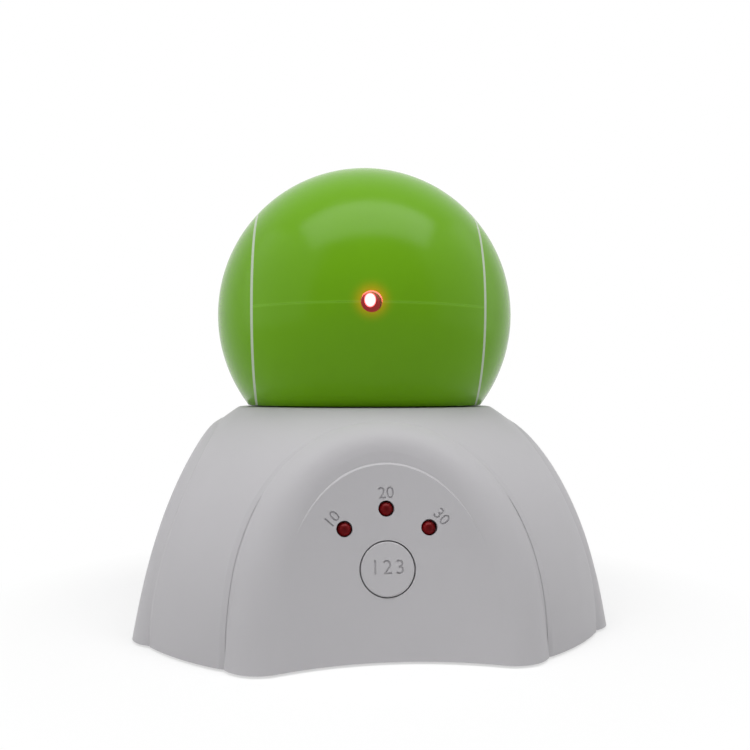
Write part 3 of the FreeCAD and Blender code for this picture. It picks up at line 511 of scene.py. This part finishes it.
class ToyStage(bpy.types.PropertyGroup):
    lens: bpy.props.FloatProperty(
        name="Lens", description="Focal length on a 36 mm sensor, in mm", default=39.0)
    distance: bpy.props.FloatProperty(
        name="Distance", description="From the camera to the head's axis", default=0.204, unit="LENGTH")
    height: bpy.props.FloatProperty(
        name="Height", description="Height of the camera over the table", default=0.05275, unit="LENGTH")
    aside: bpy.props.FloatProperty(
        name="Aside", description="How far the camera stands to the right", default=0.0026, unit="LENGTH")
    turn: bpy.props.FloatProperty(
        name="Turn", description="Angle from the base's front to the camera",
        default=math.radians(-6.65), subtype="ANGLE")
    shift: bpy.props.FloatProperty(
        name="Shift", description="Upward shift of the picture", default=0.0227)


# ------------------------------------------------------------------ operators

class TOY_OT_stage(bpy.types.Operator):
    """Floor, light and camera"""
    bl_idname = "toy.stage"
    bl_label = "Stage"

    def execute(self, context):
        place_camera(context.scene)
        light_world(context.scene)
        softbox("top_softbox", (0.0, -0.17, 0.58), (0.0, -0.02, 0.06), 0.8, 0.3, 3.75)
        softbox("left_softbox", (-0.55, -0.12, 0.25), (0, 0, 0.05), 0.7, 0.7, 1.5)
        softbox("right_softbox", (0.55, -0.12, 0.25), (0, 0, 0.05), 0.7, 0.7, 1.0)
        lay_floor()
        context.scene.view_settings.view_transform = "Standard"
        return {"FINISHED"}


def place_camera(scene):
    stage = scene.toy_stage
    camera = bpy.data.objects.new("camera", bpy.data.cameras.new("camera"))
    scene.collection.objects.link(camera)
    camera.data.lens = stage.lens
    camera.data.sensor_width = 36
    camera.data.shift_y = stage.shift
    camera.data.clip_start = 0.01
    turn = Matrix.Rotation(stage.turn, 4, "Z")
    camera.location = turn @ Vector((stage.aside, -stage.distance, stage.height))
    camera.rotation_euler = (math.radians(90), 0, stage.turn)
    scene.camera = camera


def light_world(scene):
    """Soft even light; the camera, gloss and clear parts see a white room."""
    world = bpy.data.worlds.new("studio")
    world.use_nodes = True
    scene.world = world
    tree = world.node_tree
    background = tree.nodes["Background"]
    background.inputs["Color"].default_value = (0.95, 0.96, 1.0, 1)
    background.inputs["Strength"].default_value = 0.12
    white = tree.nodes.new("ShaderNodeBackground")
    white.inputs["Color"].default_value = (1, 1, 1, 1)
    white.inputs["Strength"].default_value = 1.0
    mix = tree.nodes.new("ShaderNodeMixShader")
    tree.links.new(sees_white(tree), mix.inputs[0])
    tree.links.new(background.outputs[0], mix.inputs[1])
    tree.links.new(white.outputs[0], mix.inputs[2])
    tree.links.new(mix.outputs[0], tree.nodes["World Output"].inputs["Surface"])


def sees_white(tree):
    """One where a ray comes from the camera, a gloss or a clear part."""
    path = tree.nodes.new("ShaderNodeLightPath")
    total = path.outputs["Is Camera Ray"]
    for name in ("Is Glossy Ray", "Is Transmission Ray"):
        more = tree.nodes.new("ShaderNodeMath")
        more.operation = "MAXIMUM"
        tree.links.new(total, more.inputs[0])
        tree.links.new(path.outputs[name], more.inputs[1])
        total = more.outputs["Value"]
    return total


def softbox(name, place, aim, width, depth, watts):
    light = bpy.data.lights.new(name, "AREA")
    light.shape = "RECTANGLE"
    light.size = width
    light.size_y = depth
    light.energy = watts
    lamp = bpy.data.objects.new(name, light)
    bpy.context.scene.collection.objects.link(lamp)
    lamp.location = place
    lamp.rotation_euler = (Vector(aim) - lamp.location).to_track_quat("-Z", "Y").to_euler()


def lay_floor():
    """A white table top that keeps a soft shadow under and round the toy."""
    bm = bmesh.new()
    bmesh.ops.create_grid(bm, x_segments=1, y_segments=1, size=1.5)
    floor = object_of(bm, "floor")
    material, shader, place = new_material("table_top")
    tree = material.node_tree
    shader.inputs["Base Color"].default_value = (0.85, 0.85, 0.85, 1)
    shader.inputs["Roughness"].default_value = 0.8
    shader.inputs["Specular IOR Level"].default_value = 0.1
    shadow_core, shadow_end = 0.055, 0.1            # metres from the toy's axis
    share = spread(material, distance(material, place), 0.6, 1.0, shadow_core, shadow_end)
    glow = tree.nodes.new("ShaderNodeEmission")
    glow.inputs["Color"].default_value = (1, 1, 1, 1)
    mix = tree.nodes.new("ShaderNodeMixShader")
    link(material, maths(material, "MULTIPLY", sees_white(tree), share), mix.inputs[0])
    link(material, shader.outputs[0], mix.inputs[1])
    link(material, glow.outputs[0], mix.inputs[2])
    link(material, mix.outputs[0], tree.nodes["Material Output"].inputs["Surface"])
    give(floor, material)


class TOY_OT_finishes(bpy.types.Operator):
    """Finish of every piece that keeps its own form"""
    bl_idname = "toy.finishes"
    bl_label = "Finishes"

    def execute(self, context):
        made = finishes(context.scene.toy_finish)
        for row in frame["record"]["subparts"]:
            give(row["node"], made[row["material_slot"]])
        return {"FINISHED"}


def finishes(finish):
    """A material for each slot of the record."""
    return {
        "white_plastic": moulded("satin_shell", finish.shell_colour, 0.45, 1600.0, 0.01 * MM, 0.15, 0.012),
        "white_trim": moulded("satin_trim", finish.ring_colour, 0.4, 2600.0, 0.01 * MM, 0.3),
        "green_plastic": green_plastic("satin_green", finish.head_colour),
        "lamp_red": lamp_epoxy("lamp_epoxy", finish.lamp_colour),
        "rubber_grey": moulded("foot_rubber", (0.07, 0.07, 0.075), 0.75, 1500.0, 0.03 * MM, 0.3),
        "steel_screw": metal("zinc_plate", (0.55, 0.56, 0.58), 0.32, 900.0),
        "spring_steel": metal("nickel_plate", (0.66, 0.66, 0.64), 0.24, 1200.0),
        "motor_steel": metal("motor_can", (0.5, 0.5, 0.52), 0.36, 500.0),
        "board_green": solder_mask("solder_mask", (0.008, 0.09, 0.03)),
        "chip_black": moulded("chip_epoxy", (0.012, 0.012, 0.013), 0.55, 3000.0, 0.02 * MM),
        "switch_black": moulded("switch_body", (0.02, 0.02, 0.022), 0.45, 2600.0, 0.01 * MM),
        "cell_wrap": cell_wrap("cell_film", (0.02, 0.022, 0.025), (0.55, 0.36, 0.1)),
        "nylon": moulded("nylon", (0.66, 0.64, 0.57), 0.5, 1800.0, 0.015 * MM),
        "chassis_plastic": moulded("dark_abs", (0.03, 0.032, 0.035), 0.5, 2200.0, 0.02 * MM),
        "copper": metal("copper_track", (0.72, 0.38, 0.2), 0.3, 800.0),
        "brass": metal("turned_brass", (0.66, 0.46, 0.18), 0.28, 1000.0),
        "lens_acrylic": clear_lens("lit_lens", finish.glow_colour, 9.0),
        "wire_red": moulded("wire_pvc", (0.35, 0.012, 0.012), 0.4, 1500.0, 0.01 * MM),
    }


def material_of(node):
    return frame["nodes"][node].material_slots[0].material


class TOY_OT_base(bpy.types.Operator):
    """Base shell with softened holes and a plain number by each lamp"""
    bl_idname = "toy.base"
    bl_label = "Base"

    def execute(self, context):
        details = context.scene.toy_details
        bm = merged_copy("base_shell")
        inwards = panel_inwards()
        for name in lamp_names():
            soften(bm, rim_edges(bm, middle(name), inwards, LAMP_HOLE_RADIUS, 4 * MM), details.rim)
        button = middle("mode_button")
        soften(bm, rim_edges(bm, button, inwards, BUTTON_HOLE_RADIUS, 5 * MM), details.rim)
        shell = object_of(bm, "numbered_base_shell")
        cutters = []
        for text, x, z, turn in PANEL_NUMBERS:
            seat = panel_seat("base_shell", x, z, math.radians(turn))
            cutters.append(number_cutter(text, details.number_height, 1.0, seat, details.engraving))
        engraved(shell, cutters)
        restore_normals(shell.data)
        place_piece(shell, material_of("base_shell"), "base", "base_shell")
        return {"FINISHED"}


class TOY_OT_button(bpy.types.Operator):
    """Round button with plain engraved numbers"""
    bl_idname = "toy.button"
    bl_label = "Mode button"

    def execute(self, context):
        details = context.scene.toy_details
        piece = object_of(merged_copy("mode_button"), "numbered_button")
        seat = panel_seat("mode_button", 0.0, middle("mode_button").z / MM + BUTTON_NUMBERS_RISE, 0.0)
        height = details.button_number_height
        engraved(piece, [number_cutter(BUTTON_NUMBERS, height, 1.25, seat, details.engraving)])
        restore_normals(piece.data)
        place_piece(piece, material_of("mode_button"), "button", "mode_button")
        return {"FINISHED"}


class TOY_OT_head(bpy.types.Operator):
    """Head shells with a fine joint line and a softened laser hole"""
    bl_idname = "toy.head"
    bl_label = "Head shells"

    def execute(self, context):
        details = context.scene.toy_details
        green = green_with_painted_light(context.scene.toy_finish.head_colour)
        for node in ("band_upper_shell", "band_lower_shell"):
            bm = merged_copy(node)
            if node == "band_lower_shell":
                soften(bm, seam_edges(bm), details.seam)
            rim = rim_edges(bm, hole_mouth(), head_front(), LASER_HOLE_RADIUS, 0.5 * MM)
            soften(bm, rim, details.rim)
            piece = object_of(bm, f"softened_{node}")
            restore_normals(piece.data)
            place_piece(piece, green, "head", node)
        return {"FINISHED"}


class TOY_PT_panel(bpy.types.Panel):
    """Makes the toy's pieces and stage"""
    bl_label = "Cat Laser Toy"
    bl_idname = "TOY_PT_panel"
    bl_space_type = "VIEW_3D"
    bl_region_type = "UI"
    bl_category = "Toy"

    def draw(self, context):
        scene = context.scene
        for group in (scene.toy_finish, scene.toy_details, scene.toy_stage):
            for name in group.bl_rna.properties.keys():
                if name not in {"rna_type", "name"}:
                    self.layout.prop(group, name)
        for operator in OPERATORS:
            self.layout.operator(operator.bl_idname)


OPERATORS = (TOY_OT_stage, TOY_OT_finishes, TOY_OT_base, TOY_OT_button, TOY_OT_head)
CLASSES = (ToyFinish, ToyDetails, ToyStage, *OPERATORS, TOY_PT_panel)


def register():
    for cls in CLASSES:
        bpy.utils.register_class(cls)
    bpy.types.Scene.toy_finish = bpy.props.PointerProperty(type=ToyFinish)
    bpy.types.Scene.toy_details = bpy.props.PointerProperty(type=ToyDetails)
    bpy.types.Scene.toy_stage = bpy.props.PointerProperty(type=ToyStage)


def unregister():
    del bpy.types.Scene.toy_stage
    del bpy.types.Scene.toy_details
    del bpy.types.Scene.toy_finish
    for cls in reversed(CLASSES):
        bpy.utils.unregister_class(cls)


def main():
    register()
    bpy.ops.toy.stage()
    bpy.ops.toy.finishes()
    bpy.ops.toy.base()
    bpy.ops.toy.button()
    bpy.ops.toy.head()


if __name__ == "__main__":
    main()
